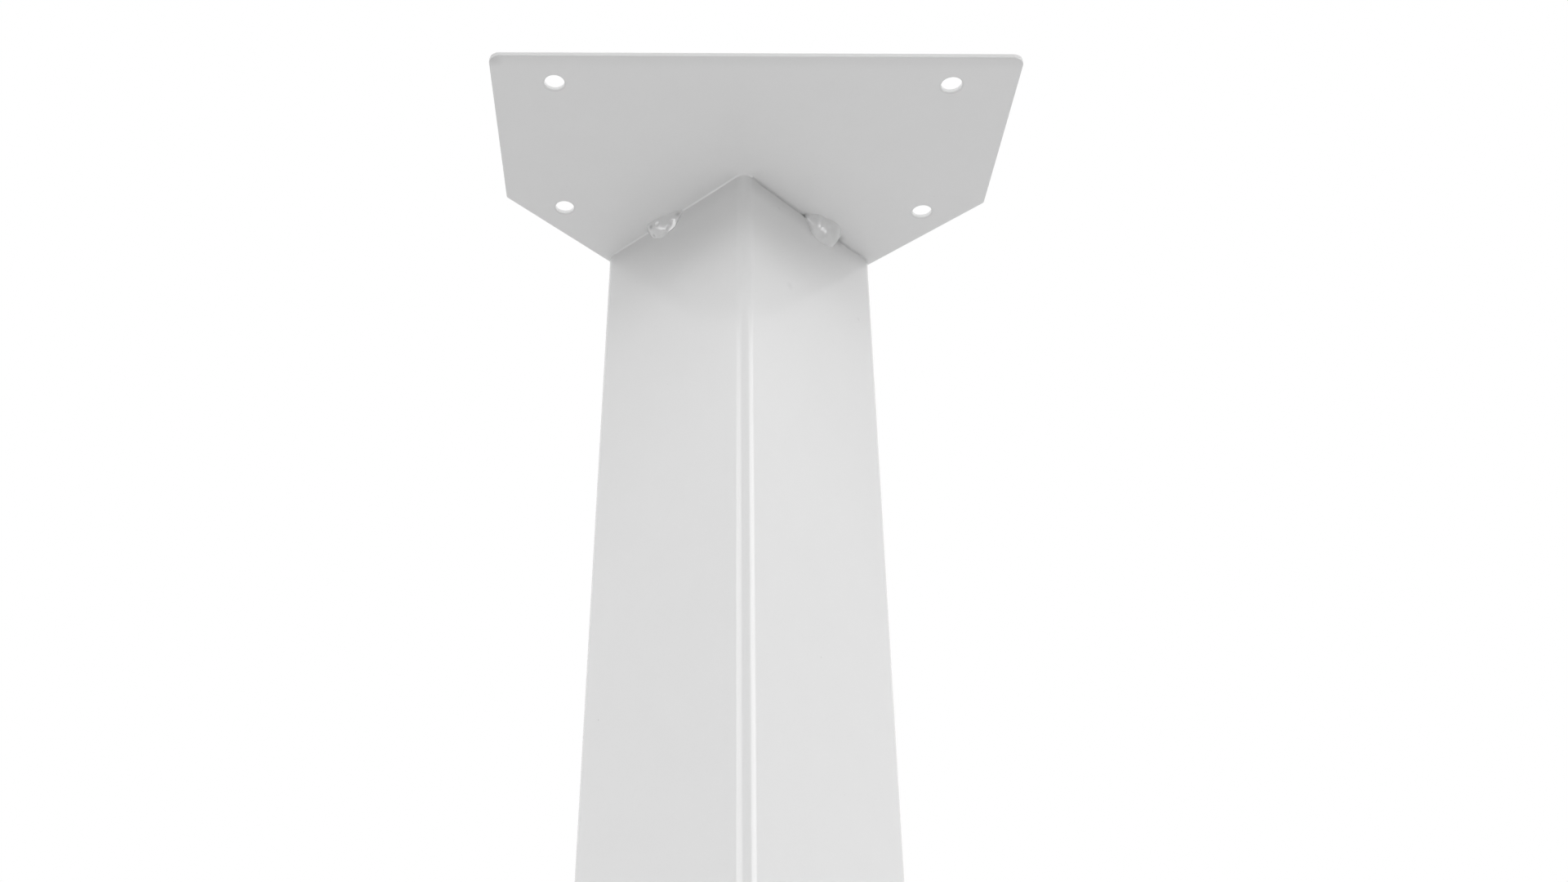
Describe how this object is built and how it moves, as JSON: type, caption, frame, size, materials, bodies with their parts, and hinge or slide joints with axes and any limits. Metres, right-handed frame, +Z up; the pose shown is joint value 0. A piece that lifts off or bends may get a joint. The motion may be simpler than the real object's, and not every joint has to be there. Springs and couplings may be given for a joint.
{
  "type": "square metal table leg",
  "caption": "Square steel table leg with a five-sided screw-on mounting plate welded to its top and a push-in plug in its foot.",
  "frame": {"origin": "on the leg's axis at floor level, at the middle of the foot's underside", "axes": "+Z up the leg towards the mounting plate; -Y towards the plate's long edge, into the table; +Y towards the plate's tip, the table's corner; the tube's corners lie on the X and Y axes"},
  "size_m": [0.192, 0.1717, 0.71],
  "materials": {
    "powder_coated_steel": "white satin powder coat on steel, with fine orange peel",
    "coated_weld": "the same white powder coat over a weld bead, glossier where it ran thick",
    "foot_plastic": "pale grey moulded plastic, finely textured"
  },
  "bodies": {
    "root": {"mounting_plate": "powder_coated_steel", "leg_tube": "powder_coated_steel", "inner_weld_left": "coated_weld", "inner_weld_right": "coated_weld", "outer_weld_left": "coated_weld", "outer_weld_right": "coated_weld", "foot_plug": "foot_plastic"}
  },
  "joints": []
}
